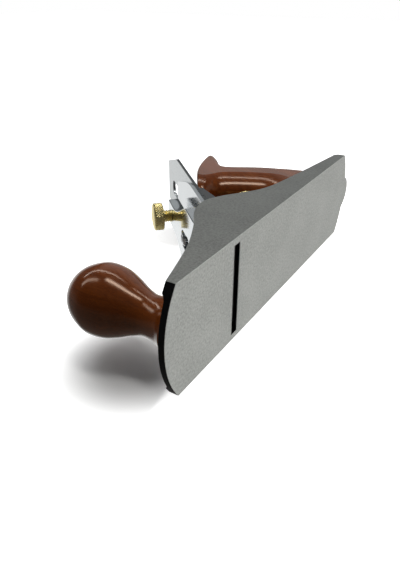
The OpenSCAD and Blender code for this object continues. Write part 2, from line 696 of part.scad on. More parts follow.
// Tote sections from foot to top: rear end, front end (distance ahead of the lug's tip,
// height above the foot),
// share of the half thickness, and how far the section bows upwards
tote_shape = [
    [1, 0, 83.3, 0, 0.96, 0], [0.3, 1.4, 84.2, 1.6, 1, 0], [0.3, 4, 84.3, 4.4, 1, 0],
    [0.5, 8, 82.5, 9, 1, 0], [0.8, 13, 76, 13, 1, 0], [1.3, 18, 67.5, 17, 1, 0],
    [1.9, 24, 58, 23, 1, 0], [2.7, 30, 51.5, 30.5, 1, 0], [4.5, 37.5, 49.3, 38.5, 1, 0],
    [7.2, 45.2, 49.9, 45, 1, 0], [9.6, 53, 52.5, 51.5, 1, 0], [12.4, 60.2, 55.2, 57.5, 1, 0],
    [15.9, 67.4, 58.3, 63.5, 1, 0], [19.8, 74.4, 61.6, 69, 1, 0], [23.2, 80.6, 65, 73.6, 1, 0.2],
    [25.5, 86.5, 69.1, 76.3, 1, 0.6], [25.3, 91.3, 73.3, 77.3, 1, 1.1],
    [21.1, 96.3, 76.5, 78.1, 1, 1.9], [14.4, 101.4, 78.1, 79.1, 1, 2.8],
    [8.5, 106.8, 78.8, 80.4, 1, 3.7], [4.7, 111, 78.8, 81.8, 1, 4.6],
    [3.9, 113, 78.2, 83.1, 0.97, 5.1], [4.7, 114.2, 76.4, 84.4, 0.84, 5.5]];
tote_arc_points = 6;
tote_side_points = 6;
tote_rise = tote_height / 114;
// One side of a section: round the front end, along the flat, round the rear end
function tote_half(a, r, b) = concat(
    [for (k = [0.5 : tote_arc_points]) let (t = 90 * k / tote_arc_points) [a - r + r * cos(t), b * sin(t)]],
    [for (k = [0 : tote_side_points]) [(a - r) * (1 - 2 * k / tote_side_points), b]],
    [for (k = [0.5 : tote_arc_points]) let (t = 90 * k / tote_arc_points)
        [r - a - r * sin(t), b * cos(t)]]);
function tote_ring(q) =
    let (rear = [lug_tip + q[0], q[1] * tote_rise], front = [lug_tip + q[2], q[3] * tote_rise],
         a = norm(front - rear) / 2, mid = (rear + front) / 2, u = (front - rear) / (2 * a),
         half = tote_half(a, min(tote_width / 2, a), q[4] * tote_width / 2),
         ring = concat(half, [for (k = [len(half) - 1 : -1 : 0]) [half[k][0], -half[k][1]]]))
    [for (h = ring) let (bow = q[5] * (1 - pow(h[0] / a, 2)))
        [mid[0] + u[0] * h[0] - u[1] * bow, h[1], tote_seat + mid[1] + u[1] * h[0] + u[0] * bow]];
module tote_blank() skin([for (q = spline(tote_shape, 2)) tote_ring(q)]);

tote_nut_low = 96.6 * tote_rise;
module tote() color([0.35, 0.14, 0.06]) difference() {
    tote_blank();
    tote_axis() {
        translate([0, 0, -10]) cylinder(h = tote_height, r = stud_radius + 0.4, $fn = fine);
        translate([0, 0, tote_nut_low]) cylinder(h = tote_height, r = nut_radius + 0.4, $fn = fine);
    }
    translate([toe_screw_x, 0, 0]) {
        cylinder(h = toe_screw_access, r = toe_screw_radius + 0.4, $fn = fine);
        translate([0, 0, tote_seat + toe_screw_low])
            cylinder(h = toe_screw_access, r = toe_screw_head + 0.4, $fn = fine);
    }
}

module tote_stud() color([0.6, 0.6, 0.62]) tote_axis()
    translate([0, 0, -3.2]) cylinder(h = tote_nut_low + 6.6, r = stud_radius, $fn = fine);

module tote_nut() color([0.8, 0.65, 0.3]) tote_axis() translate([0, 0, tote_nut_low]) nut();

module tote_toe_screw() color([0.6, 0.6, 0.62]) translate([toe_screw_x, 0, 0]) difference() {
    union() {
        translate([0, 0, 1.4])
            cylinder(h = tote_seat + toe_screw_low - 1.4, r = toe_screw_radius, $fn = fine);
        translate([0, 0, tote_seat + toe_screw_low]) rotate_extrude($fn = fine)
            polygon([[0, 0], [toe_screw_head, 0], [toe_screw_head, 1], [toe_screw_head - 1.4, 2.2],
                     [0, 2.8]]);
    }
    translate([-6, -0.6, tote_seat + toe_screw_low + 1.4]) cube([12, 1.2, 4]);
}

body();
frog();
frog_screws();
frog_screw_washers();
frog_clip();
frog_clip_screw();
frog_adjusting_screw();
blade();
cap_iron();
cap_iron_screw();
lever_cap();
lever_cap_screw();
thumb_screw();
depth_stud();
depth_wheel();
yoke();
yoke_pin();
lateral_lever();
lateral_pivot();
lateral_disc();
knob();
knob_stud();
knob_nut();
tote();
tote_stud();
tote_nut();
tote_toe_screw();
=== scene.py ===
import bpy
import bmesh
import math
from mathutils import Matrix, Vector


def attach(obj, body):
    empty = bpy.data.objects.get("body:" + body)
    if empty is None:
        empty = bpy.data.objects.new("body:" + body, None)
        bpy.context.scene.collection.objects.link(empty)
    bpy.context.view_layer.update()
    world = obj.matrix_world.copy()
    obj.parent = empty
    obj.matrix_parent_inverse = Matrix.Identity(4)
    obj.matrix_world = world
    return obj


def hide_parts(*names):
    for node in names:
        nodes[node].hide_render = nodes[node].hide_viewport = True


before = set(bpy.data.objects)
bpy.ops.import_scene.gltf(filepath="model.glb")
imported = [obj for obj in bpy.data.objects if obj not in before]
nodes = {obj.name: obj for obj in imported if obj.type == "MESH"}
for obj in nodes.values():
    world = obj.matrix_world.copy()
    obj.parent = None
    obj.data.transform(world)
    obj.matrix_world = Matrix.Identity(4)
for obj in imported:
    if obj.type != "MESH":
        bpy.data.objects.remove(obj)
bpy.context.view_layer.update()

scene = bpy.context.scene

# Lengths are in millimetres in the part's own frame, and MM turns them into metres
MM = 0.001
# Sine and cosine of the bed's 45 degrees, and where its plane meets the sole
K = math.sqrt(0.5)
BED_X = 57.75
# Half the body's width, and where its cheeks' rims begin
HALF_WIDTH, RIM_FROM = 30.5, 27.12
# The body's heel lug: its tip, where its bare end begins, and half its width
LUG_TIP, LUG_BARE, LUG_HALF = -124.5, -117.35, 12.5
# The mouth's middle and half length, and the half width of the mouth with the painted shade beside it,
# which makes its dark gap look wider
MOUTH_X, MOUTH_HALF, MOUTH_SHADED = 60, 26.9, 3.1


def bed(n, y, s):
    """A place on the bed: n out of it, y across it and s up it."""
    return Vector((BED_X - s * K + n * K, y, (s + n) * K))


def bend(a, b, c, d, t):
    return 0.5 * (2 * b + (c - a) * t + (2 * a - 5 * b + 4 * c - d) * t * t
                  + (3 * b - a - 3 * c + d) * t ** 3)


def spline(points, steps):
    out = []
    for i in range(len(points) - 1):
        a, b = points[max(i - 1, 0)], points[i]
        c, d = points[i + 1], points[min(i + 2, len(points) - 1)]
        for k in range(steps):
            t = k / steps
            out.append(tuple(bend(p, q, r, s, t) for p, q, r, s in zip(a, b, c, d)))
    out.append(tuple(points[-1]))
    return out


def piece(name, verts, faces, material, body):
    """A mesh piece that rides on a body."""
    mesh = bpy.data.meshes.new(name)
    mesh.from_pydata([Vector(v) * MM for v in verts], [], faces)
    mesh.update()
    obj = bpy.data.objects.new(name, mesh)
    scene.collection.objects.link(obj)
    tidy_mesh(obj)
    mesh.materials.append(material)
    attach(obj, body)
    return obj


def tidy_mesh(obj, angle=32):
    """Weld the mesh, turn its faces outward and keep the edges above the angle sharp."""
    bm = bmesh.new()
    bm.from_mesh(obj.data)
    bmesh.ops.remove_doubles(bm, verts=bm.verts, dist=1e-6)
    bmesh.ops.recalc_face_normals(bm, faces=bm.faces)
    for f in bm.faces:
        f.smooth = True
    for e in bm.edges:
        if len(e.link_faces) == 2:
            e.smooth = e.calc_face_angle(0) < math.radians(angle)
    bm.to_mesh(obj.data)
    bm.free()


def around(rows, n):
    """Faces that join rows of n points each."""
    return [(i * n + k, i * n + (k + 1) % n, (i + 1) * n + (k + 1) % n, (i + 1) * n + k)
            for i in range(rows - 1) for k in range(n)]


def skin(rows, n):
    """Faces that join rows of n points and close both ends; each row is two mirrored halves."""
    faces = around(rows, n)
    last = (rows - 1) * n
    for j in range(n // 2 - 1):
        faces.append((j, n - 1 - j, n - 2 - j, j + 1))
        faces.append((last + j, last + j + 1, last + n - 2 - j, last + n - 1 - j))
    return faces


def turned(profile, place, seg, marks=(), bored=False):
    """Profile points (radius, height) turned about the height; place takes (a, b, height) into
    the part's frame. A piece that isn't bored is closed at both ends. Some stretches have crossed
    knurling or a thread, as marks says:
    {first profile place: ("knurl", teeth, depth, pitch) or ("thread", pitch, depth)}."""
    rows = []
    for i, (r, h) in enumerate(profile):
        if i in marks:
            h1 = profile[i + 1][1]
            mark = marks[i]
            pitch = mark[3] if mark[0] == "knurl" else mark[1]
            count = max(8, int(abs(h1 - h) / pitch * 8))
            for j in range(count + 1):
                rows.append((r, h + (h1 - h) * j / count, mark, j / count))
        elif i - 1 not in marks:
            rows.append((r, h, None, 0))
    verts = []
    for r, h, mark, t in rows:
        for k in range(seg):
            a = k / seg
            rr = r
            if mark:
                # The pattern fades out over the first and last 7 % of its stretch
                ends = max(0.0, min(1.0, (0.5 - abs(t - 0.5)) / 0.07))
                if mark[0] == "knurl":
                    teeth, depth, pitch = mark[1:]
                    u, v = a * teeth, h / pitch
                    g = abs((u + v) % 1 - 0.5) + abs((u - v) % 1 - 0.5)
                else:
                    pitch, depth = mark[1:]
                    g = abs(2 * ((h / pitch + a) % 1) - 1)
                rr = r - depth * g * ends
            verts.append(place(rr * math.cos(2 * math.pi * a), rr * math.sin(2 * math.pi * a), h))
    faces = around(len(rows), seg)
    end = (len(rows) - 1) * seg
    if bored:
        faces += [(end + k, end + (k + 1) % seg, (k + 1) % seg, k) for k in range(seg)]
    else:
        faces.append(tuple(range(seg))[::-1])
        faces.append(tuple(range(end, end + seg)))
    return verts, faces


def combine(obj, operation, other):
    """Cut, or intersect, a piece with a tool, which is used up."""
    mod = obj.modifiers.new("combine", "BOOLEAN")
    mod.operation = operation
    mod.solver = "EXACT"
    mod.object = other
    dg = bpy.context.evaluated_depsgraph_get()
    mesh = bpy.data.meshes.new_from_object(obj.evaluated_get(dg))
    obj.modifiers.clear()
    old = obj.data
    obj.data = mesh
    bpy.data.meshes.remove(old)
    bpy.data.objects.remove(other)


def cut(obj, *cutters):
    for c in cutters:
        combine(obj, "DIFFERENCE", c)
    tidy_mesh(obj)


def tool(verts, faces):
    """A closed form for combine."""
    mesh = bpy.data.meshes.new("tool")
    mesh.from_pydata([Vector(v) * MM for v in verts], [], faces)
    obj = bpy.data.objects.new("tool", mesh)
    scene.collection.objects.link(obj)
    bm = bmesh.new()
    bm.from_mesh(mesh)
    bmesh.ops.recalc_face_normals(bm, faces=bm.faces)
    bm.to_mesh(mesh)
    bm.free()
    return obj


def prism(outline, low, high, place):
    """An outline of (a, b) points pushed from low to high; place takes (a, b, height)."""
    m = len(outline)
    verts = [place(a, b, low) for a, b in outline] + [place(a, b, high) for a, b in outline]
    faces = [tuple(range(m))[::-1], tuple(range(m, 2 * m))]
    faces += [(j, (j + 1) % m, m + (j + 1) % m, m + j) for j in range(m)]
    return verts, faces


def circle(r, b0=0.0, seg=64):
    return [(r * math.cos(2 * math.pi * k / seg), b0 + r * math.sin(2 * math.pi * k / seg))
            for k in range(seg)]


def slot_line(r, low, high, seg=32):
    """The outline of a slot with round ends about (0, low) and (0, high)."""
    arc = [(r * math.cos(math.pi * k / seg), r * math.sin(math.pi * k / seg)) for k in range(seg + 1)]
    return [(a, high + b) for a, b in arc] + [(-a, low - b) for a, b in arc]


def either(nt, fac, a, b):
    """The first output of shader node a where fac is 0, and of b where it is 1."""
    ms = nt.nodes.new("ShaderNodeMixShader")
    nt.links.new(fac, ms.inputs[0])
    nt.links.new(a.outputs[0], ms.inputs[1])
    nt.links.new(b.outputs[0], ms.inputs[2])
    return ms.outputs[0]


# Materials
def material(name):
    m = bpy.data.materials.new(name)
    m.use_nodes = True
    nt = m.node_tree
    nt.nodes.clear()
    out = nt.nodes.new("ShaderNodeOutputMaterial")
    bsdf = nt.nodes.new("ShaderNodeBsdfPrincipled")
    nt.links.new(bsdf.outputs[0], out.inputs[0])
    return m, nt, bsdf


def maths(nt, op, a, b=None, c=None, clamp=False):
    n = nt.nodes.new("ShaderNodeMath")
    n.operation = op
    n.use_clamp = clamp
    for i, v in enumerate((a, b, c)):
        if v is None:
            continue
        if isinstance(v, (int, float)):
            n.inputs[i].default_value = v
        else:
            nt.links.new(v, n.inputs[i])
    return n.outputs[0]


def axes(nt):
    """The object's own x, y and z, in metres."""
    tc = nt.nodes.new("ShaderNodeTexCoord")
    sep = nt.nodes.new("ShaderNodeSeparateXYZ")
    nt.links.new(tc.outputs["Object"], sep.inputs[0])
    return sep.outputs


def mapped(nt, vector, scale, rotation=(0, 0, 0)):
    mp = nt.nodes.new("ShaderNodeMapping")
    mp.inputs["Scale"].default_value = scale
    mp.inputs["Rotation"].default_value = rotation
    nt.links.new(vector, mp.inputs[0])
    return mp.outputs[0]


def coords(nt, scale=(1, 1, 1), rotation=(0, 0, 0)):
    """Object coordinates in millimetres times scale."""
    tc = nt.nodes.new("ShaderNodeTexCoord")
    return mapped(nt, tc.outputs["Object"], [s / MM for s in scale], rotation)


def noise(nt, vector, scale, detail=4.0, rough=0.55, distortion=0.0):
    n = nt.nodes.new("ShaderNodeTexNoise")
    n.inputs["Distortion"].default_value = distortion
    n.inputs["Scale"].default_value = scale
    n.inputs["Detail"].default_value = detail
    n.inputs["Roughness"].default_value = rough
    nt.links.new(vector, n.inputs["Vector"])
    return n.outputs["Fac"]


def ramp(nt, fac, stops):
    n = nt.nodes.new("ShaderNodeValToRGB")
    while len(n.color_ramp.elements) < len(stops):
        n.color_ramp.elements.new(0.5)
    for e, (p, c) in zip(n.color_ramp.elements, stops):
        e.position = p
        e.color = (*c, 1)
    nt.links.new(fac, n.inputs[0])
    return n.outputs[0]


def remap(nt, fac, a, b, c, d):
    n = nt.nodes.new("ShaderNodeMapRange")
    n.inputs["From Min"].default_value = a
    n.inputs["From Max"].default_value = b
    n.inputs["To Min"].default_value = c
    n.inputs["To Max"].default_value = d
    nt.links.new(fac, n.inputs["Value"])
    return n.outputs[0]


def step(nt, value, low, high):
    """0 at low and 1 at high, with a smooth change between them."""
    s = nt.nodes.new("ShaderNodeMapRange")
    s.interpolation_type = "SMOOTHSTEP"
    s.inputs["From Min"].default_value = low
    s.inputs["From Max"].default_value = high
    nt.links.new(value, s.inputs["Value"])
    return s.outputs[0]


def mix(nt, fac, a, b, blend="MIX"):
    """Colours, or values, a and b mixed by fac."""
    n = nt.nodes.new("ShaderNodeMix")
    n.data_type = "RGBA"
    n.blend_type = blend
    if isinstance(fac, (int, float)):
        n.inputs["Factor"].default_value = fac
    else:
        nt.links.new(fac, n.inputs["Factor"])
    for i, v in ((6, a), (7, b)):
        if isinstance(v, tuple):
            n.inputs[i].default_value = (*v, 1)
        else:
            nt.links.new(v, n.inputs[i])
    return n.outputs[2]


def bump(nt, height, strength, distance, normal):
    """Relief for a shader's normal input; distance is in metres."""
    n = nt.nodes.new("ShaderNodeBump")
    n.inputs["Strength"].default_value = strength
    n.inputs["Distance"].default_value = distance
    nt.links.new(height, n.inputs["Height"])
    nt.links.new(n.outputs[0], normal)


def steel(name, colour, rough, scratch, scratch_amount, mottle, dark_beyond=None):
    """Ground or turned metal: long fine scratches, a little mottling, a few marks. Beyond
    dark_beyond on either side of the middle its edges are dark."""
    m, nt, b = material(name)
    fine = noise(nt, coords(nt, scratch), 1.0, 3.0, 0.6)
    broad = noise(nt, coords(nt), 0.08, 3.0, 0.5)
    marks = noise(nt, coords(nt), 0.9, 6.0, 0.7)
    shade = maths(nt, "MULTIPLY_ADD", fine, scratch_amount, 1 - scratch_amount / 2)
    shade = maths(nt, "MULTIPLY", shade, maths(nt, "MULTIPLY_ADD", broad, mottle * 2, 1 - mottle))
    col = mix(nt, remap(nt, shade, 0.7, 1.25, 0, 1), tuple(c * 0.72 for c in colour),
              tuple(min(1, c * 1.22) for c in colour))
    if dark_beyond:
        edge = maths(nt, "GREATER_THAN", maths(nt, "ABSOLUTE", axes(nt)[1]), dark_beyond * MM)
        col = mix(nt, edge, col, (0.09, 0.095, 0.10))
    nt.links.new(col, b.inputs["Base Color"])
    b.inputs["Metallic"].default_value = 1.0
    r = maths(nt, "MULTIPLY_ADD", fine, 0.16, rough - 0.08)
    r = maths(nt, "ADD", r, remap(nt, marks, 0.35, 0.75, -0.04, 0.05), clamp=True)
    nt.links.new(r, b.inputs["Roughness"])
    bump(nt, fine, 0.35, 0.00001, b.inputs["Normal"])
    return m


def casting_material():
    """The body: ground sole, cheeks, rims and heel, and black paint inside."""
    m, nt, b = material("casting_ground_and_painted")
    geo = nt.nodes.new("ShaderNodeNewGeometry")
    nsep = nt.nodes.new("ShaderNodeSeparateXYZ")
    nt.links.new(geo.outputs["True Normal"], nsep.inputs[0])
    x, y, z = axes(nt)
    nx = maths(nt, "ABSOLUTE", nsep.outputs[0])
    ay = maths(nt, "ABSOLUTE", y)
    sole = maths(nt, "LESS_THAN", z, 0.25 * MM)
    side = maths(nt, "GREATER_THAN", ay, (HALF_WIDTH - 0.15) * MM)
    rim = maths(nt, "MULTIPLY", maths(nt, "GREATER_THAN", ay, RIM_FROM * MM),
                maths(nt, "LESS_THAN", nx, 0.62))
    heel = maths(nt, "MULTIPLY", maths(nt, "LESS_THAN", x, LUG_BARE * MM),
                 maths(nt, "LESS_THAN", ay, LUG_HALF * MM))
    bare = maths(nt, "MAXIMUM", maths(nt, "MAXIMUM", sole, side), maths(nt, "MAXIMUM", rim, heel))
    # Long fine scratches run slantwise on the sole and along the cheeks
    slant = noise(nt, coords(nt, (0.11, 2.6, 1.2), (0, 0, math.radians(-52))), 1.0, 4.0, 0.65)
    long = noise(nt, coords(nt, (0.05, 1.4, 3.2), (0, math.radians(4), 0)), 1.0, 4.0, 0.65)
    scratches = mix(nt, sole, long, slant)
    broad = noise(nt, coords(nt), 0.035, 3.0)
    marks = noise(nt, coords(nt), 0.55, 8.0, 0.75)
    speck = noise(nt, coords(nt), 0.75, 3.0, 0.75)
    pits = noise(nt, coords(nt), 0.33, 1.0, 0.3)
    v = maths(nt, "MULTIPLY_ADD", scratches, 0.14, 0.79)
    v = maths(nt, "ADD", v, maths(nt, "MULTIPLY_ADD", speck, 1.2, -0.46))
    v = maths(nt, "MULTIPLY", v, maths(nt, "MULTIPLY_ADD", broad, 0.34, 0.83))
    v = maths(nt, "SUBTRACT", v, remap(nt, marks, 0.66, 0.85, 0, 0.16))
    v = maths(nt, "SUBTRACT", v, remap(nt, pits, 0.76, 0.80, 0, 0.5))
    tone = mix(nt, remap(nt, v, 0.75, 1.15, 0, 1), (0.285, 0.288, 0.273), (0.475, 0.48, 0.457))
    # Painted shade beside the mouth, which widens its dark gap; painted shade that darkens the cheeks; a
    # painted highlight on the arris of sole and cheek
    off_mouth = maths(nt, "ABSOLUTE", maths(nt, "SUBTRACT", x, MOUTH_X * MM))
    mouth = maths(nt, "MULTIPLY", maths(nt, "LESS_THAN", off_mouth, MOUTH_SHADED * MM),
                  maths(nt, "LESS_THAN", ay, MOUTH_HALF * MM))
    # painted shade: a dark band on the sole beside the mouth
    tone = mix(nt, maths(nt, "MULTIPLY", mouth, sole), tone, (0.05, 0.05, 0.047))
    # painted shade: the cheeks are made darker than the sole
    tone = mix(nt, maths(nt, "MULTIPLY", side, 0.30), tone, (0.06, 0.06, 0.055))
    # painted highlight: a bright line on the arris where sole and cheek meet
    tone = mix(nt, maths(nt, "MULTIPLY", side, sole), tone, (0.58, 0.58, 0.56))
    rough = maths(nt, "MULTIPLY_ADD", scratches, 0.14, 0.36)
    # Paint: black, a little uneven
    pn = noise(nt, coords(nt), 0.5, 5.0, 0.6)
    paint = mix(nt, pn, (0.004, 0.004, 0.005), (0.011, 0.011, 0.012))
    paint_rough = maths(nt, "MULTIPLY_ADD", pn, 0.2, 0.38)
    b.inputs["Specular IOR Level"].default_value = 0.12
    nt.links.new(mix(nt, bare, paint, tone), b.inputs["Base Color"])
    nt.links.new(bare, b.inputs["Metallic"])
    nt.links.new(mix(nt, bare, paint_rough, rough), b.inputs["Roughness"])
    height = mix(nt, bare, maths(nt, "MULTIPLY", pn, 3.0), scratches)
    bump(nt, height, 0.3, 0.000012, b.inputs["Normal"])
    return m


def wood_material(name, rotation=(0, 0, 0)):
    """Varnished reddish brown hardwood; the grain runs along the piece's length."""
    m, nt, b = material(name)
    v = coords(nt, rotation=rotation)
    figure = noise(nt, mapped(nt, v, (0.42, 0.42, 0.028)), 1.0, 5.0, 0.6, 0.6)
    pores = noise(nt, mapped(nt, v, (3.2, 3.2, 0.16)), 1.0, 3.0, 0.6)
    broad = noise(nt, mapped(nt, v, (0.05, 0.05, 0.01)), 1.0, 3.0, 0.5)
    soft = noise(nt, v, 0.22, 3.0, 0.5)
    grain = maths(nt, "MULTIPLY_ADD", figure, 0.45, maths(nt, "MULTIPLY_ADD", broad, 0.35, 0.12))
    col = ramp(nt, grain, [(0.30, (0.090, 0.0165, 0.0015)), (0.46, (0.165, 0.0340, 0.0030)),
                           (0.60, (0.230, 0.0520, 0.0050)), (0.74, (0.290, 0.0690, 0.0070))])
    pore = remap(nt, pores, 0.30, 0.44, 0.45, 1.0)
    nt.links.new(mix(nt, 0.3, col, pore, "MULTIPLY"), b.inputs["Base Color"])
    b.inputs["Roughness"].default_value = 0.17
    b.inputs["Specular IOR Level"].default_value = 0.5
    b.inputs["Specular Tint"].default_value = (1.0, 0.66, 0.42, 1.0)
    b.inputs["Coat Weight"].default_value = 0.42
    b.inputs["Coat IOR"].default_value = 1.45
    b.inputs["Coat Roughness"].default_value = 0.15
    height = maths(nt, "MULTIPLY_ADD", pore, 0.12, maths(nt, "MULTIPLY", soft, 0.7))
    bump(nt, height, 0.06, 0.00003, b.inputs["Normal"])
    bump(nt, height, 0.05, 0.00003, b.inputs["Coat Normal"])
    return m


def brass_material():
    m, nt, b = material("turned_brass")
    n = noise(nt, coords(nt), 0.5, 5.0, 0.6)
    fine = noise(nt, coords(nt, (4, 4, 4)), 1.0, 2.0, 0.5)
    nt.links.new(mix(nt, n, (0.88, 0.70, 0.27), (1.0, 0.88, 0.46)), b.inputs["Base Color"])
    b.inputs["Metallic"].default_value = 1.0
    nt.links.new(maths(nt, "MULTIPLY_ADD", n, 0.20, 0.17), b.inputs["Roughness"])
    bump(nt, fine, 0.2, 0.00001, b.inputs["Normal"])
    return m


def chrome_material():
    m, nt, b = material("lever_cap_chrome")
    n = noise(nt, coords(nt), 0.12, 4.0, 0.55)
    wave = noise(nt, coords(nt), 0.05, 2.0, 0.5)
    nt.links.new(mix(nt, n, (0.70, 0.73, 0.76), (0.80, 0.82, 0.84)), b.inputs["Base Color"])
    b.inputs["Metallic"].default_value = 1.0
    nt.links.new(maths(nt, "MULTIPLY_ADD", n, 0.10, 0.07), b.inputs["Roughness"])
    bump(nt, wave, 0.25, 0.0002, b.inputs["Normal"])
    return m


def frog_material():
    """Cast and painted, with the bed itself machined bare."""
    m, nt, b = material("frog_cast_and_machined")
    x, y, z = axes(nt)
    off_bed = maths(nt, "MULTIPLY", maths(nt, "ADD", maths(nt, "SUBTRACT", x, BED_X * MM), z), K)
    bare = maths(nt, "GREATER_THAN", off_bed, -0.12 * MM)
    n = noise(nt, coords(nt), 0.6, 6.0, 0.62)
    scratches = noise(nt, coords(nt, (0.3, 3.0, 0.3)), 1.0, 3.0, 0.6)
    paint = mix(nt, n, (0.030, 0.030, 0.032), (0.062, 0.063, 0.066))
    metal = mix(nt, scratches, (0.26, 0.265, 0.26), (0.40, 0.405, 0.40))
    nt.links.new(mix(nt, bare, paint, metal), b.inputs["Base Color"])
    nt.links.new(bare, b.inputs["Metallic"])
    nt.links.new(maths(nt, "MULTIPLY_ADD", n, 0.2, 0.32), b.inputs["Roughness"])
    bump(nt, n, 0.4, 0.00015, b.inputs["Normal"])
    return m


cast = casting_material()
wood_knob = wood_material("knob_wood")
wood_tote = wood_material("tote_wood", (0, math.radians(24), 0))
brass = brass_material()
chrome = chrome_material()
frog_mat = frog_material()
blade_mat = steel("blade_ground_steel", (0.60, 0.62, 0.63), 0.30, (0.35, 3.4, 0.35), 0.14, 0.06,
                  dark_beyond=25.35)
iron_mat = steel("cap_iron_polished", (0.66, 0.68, 0.70), 0.16, (0.3, 1.4, 0.3), 0.10, 0.05)
screw_mat = steel("screw_steel", (0.50, 0.50, 0.49), 0.28, (2, 2, 2), 0.2, 0.15)
pressed = steel("pressed_steel", (0.30, 0.30, 0.30), 0.36, (1, 1, 1), 0.3, 0.2)
nickel = steel("plated_screw", (0.72, 0.73, 0.75), 0.12, (1, 1, 1), 0.1, 0.1)


def dress(name, mat, bevel):
    """A material and softened edges on a solid of the frame."""
    o = nodes[name]
    if not o.material_slots:
        o.data.materials.append(mat)
    for s in o.material_slots:
        s.link = "OBJECT"
        s.material = mat
    mod = o.modifiers.new("edge", "BEVEL")
    mod.width = bevel * MM
    mod.segments = 2
    mod.limit_method = "ANGLE"
    mod.angle_limit = math.radians(35)
    mod.harden_normals = True


dress("body", cast, 0.22)
dress("frog", frog_mat, 0.25)
dress("blade", blade_mat, 0.12)
dress("cap_iron", iron_mat, 0.2)
dress("cap_iron_screw", screw_mat, 0.2)
dress("lever_cap_screw", nickel, 0.2)
for n in ("frog_screws", "frog_screw_washers", "frog_clip_screw", "frog_adjusting_screw", "depth_stud",
          "yoke_pin", "lateral_pivot", "lateral_disc", "knob_stud", "tote_stud", "tote_toe_screw"):
    dress(n, screw_mat, 0.15)
for n in ("yoke", "lateral_lever", "frog_clip"):
    dress(n, pressed, 0.3)
for n in ("knob_nut", "tote_nut"):
    dress(n, brass, 0.15)

# Knob, turned
KNOB_X, KNOB_Z = 102.5, 6.8
knob_line = [(15.4, 0), (15.3, 1.8), (14.3, 3.4), (13.2, 5.2), (12.4, 7), (11.6, 9.5), (11, 12.5),
             (10.75, 15), (10.85, 17.5), (11.6, 20.5), (13.3, 25), (15.6, 30), (17.8, 35.5), (18.8, 39.5),
             (19.2, 43.5), (19, 46.8), (18, 50.2), (16.5, 53.7), (14.7, 56.7), (12.4, 59.4), (9.9, 61.4),
             (7.6, 62.6)]
outer = [(max(r, 0.2), h) for r, h in spline(knob_line, 6)]
outer = [(14.9, 0.0), (15.2, 0.25)] + outer[3:] + [(6.7, 62.5), (6.4, 62.1), (6.4, 57.5)]
v, f = turned(outer, lambda a, b, h: (KNOB_X + a, b, KNOB_Z + h), 128)
knob = piece("knob_turned", v, f, wood_knob, "plane_body")
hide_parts("knob")

# Tote, carved: sections from foot to top, as in the model. Each has the place of its rear and
# its front (x from the heel lug's tip, z), the share of the full width, and how far it bows up.
TOTE_Z, TOTE_HALF = 5.4, 12.5
tote_rows = [
    [1, 0, 83.3, 0, 0.96, 0], [0.3, 1.4, 84.2, 1.6, 1, 0], [0.3, 4, 84.3, 4.4, 1, 0],
    [0.5, 8, 82.5, 9, 1, 0], [0.8, 13, 76, 13, 1, 0], [1.3, 18, 67.5, 17, 1, 0],
    [1.9, 24, 58, 23, 1, 0], [2.7, 30, 51.5, 30.5, 1, 0], [4.5, 37.5, 49.3, 38.5, 1, 0],
    [7.2, 45.2, 49.9, 45, 1, 0], [9.6, 53, 52.5, 51.5, 1, 0], [12.4, 60.2, 55.2, 57.5, 1, 0],
    [15.9, 67.4, 58.3, 63.5, 1, 0], [19.8, 74.4, 61.6, 69, 1, 0], [23.2, 80.6, 65, 73.6, 1, 0.2],
    [25.5, 86.5, 69.1, 76.3, 1, 0.6], [25.3, 91.3, 73.3, 77.3, 1, 1.1], [21.1, 96.3, 76.5, 78.1, 1, 1.9],
    [14.4, 101.4, 78.1, 79.1, 1, 2.8], [8.5, 106.8, 78.8, 80.4, 1, 3.7], [4.7, 111, 78.8, 81.8, 1, 4.6],
    [3.9, 113, 78.2, 83.1, 0.97, 5.1], [4.7, 114.2, 76.4, 84.4, 0.84, 5.5]]
# Points in a quarter of a section's ends, and along its flat sides
ARC, FLAT = 18, 14
# Depth of the rounding of its front and rear edges. The front one meets the flat side at a
# slight angle, which leaves a crease: it is the part of an ellipse up to this turn.
FRONT_ROUND, REAR_ROUND = 18, 12.5
CREASE = math.radians(62)
shares = [(k + 0.5) / ARC for k in range(ARC)]
tote_points = []
rows = spline(tote_rows, 7)
for rx, rz, fx, fz, share, bow in rows:
    b = share * TOTE_HALF
    a = math.hypot(fx - rx, fz - rz) / 2
    ux, uz = (fx - rx) / (2 * a), (fz - rz) / (2 * a)
    mx, mz = LUG_TIP + (rx + fx) / 2, (rz + fz) / 2
    flat_front, flat_rear = a - min(FRONT_ROUND, a), min(REAR_ROUND, a) - a
    half = []
    for t in [CREASE * s for s in shares]:
        inward = (math.cos(t) - math.cos(CREASE)) / (1 - math.cos(CREASE))
        half.append((flat_front + (a - flat_front) * inward, b * math.sin(t) / math.sin(CREASE)))
    half += [(flat_front + (flat_rear - flat_front) * k / FLAT, b) for k in range(FLAT + 1)]
    for t in [math.pi / 2 * s for s in shares]:
        half.append((flat_rear - (a + flat_rear) * math.sin(t), b * math.cos(t)))
    for reach, y in half + [(h[0], -h[1]) for h in half[::-1]]:
        rise = bow * (1 - (reach / a) ** 2)
        tote_points.append((mx + ux * reach - uz * rise, y, TOTE_Z + mz + uz * reach + ux * rise))
tote = piece("tote_carved", tote_points, skin(len(rows), 2 * len(half)), wood_tote, "plane_body")
# The stud's place and lean, with the nut's pocket, and the toe screw's place
STUD_X, LEAN, TOE_SCREW_X = -107, math.radians(17), -47


def on_stud(a, b, h):
    return (STUD_X + a * math.cos(LEAN) + h * math.sin(LEAN), b,
            TOTE_Z - a * math.sin(LEAN) + h * math.cos(LEAN))


cut(tote, tool(*prism(circle(6.4), 96.6, 140, on_stud)),
    tool(*prism(circle(5.2), 7, 30, lambda a, b, h: (TOE_SCREW_X + a, b, TOTE_Z + h))))
tidy_mesh(tote, 9)
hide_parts("tote")

# Thumb screw, turned and knurled: its place up the bed, and its tip's out of the bed
THUMB_S, THUMB_N = 106, 4.65


def thumb_place(a, b, h):
    return bed(THUMB_N + h, a, THUMB_S + b)


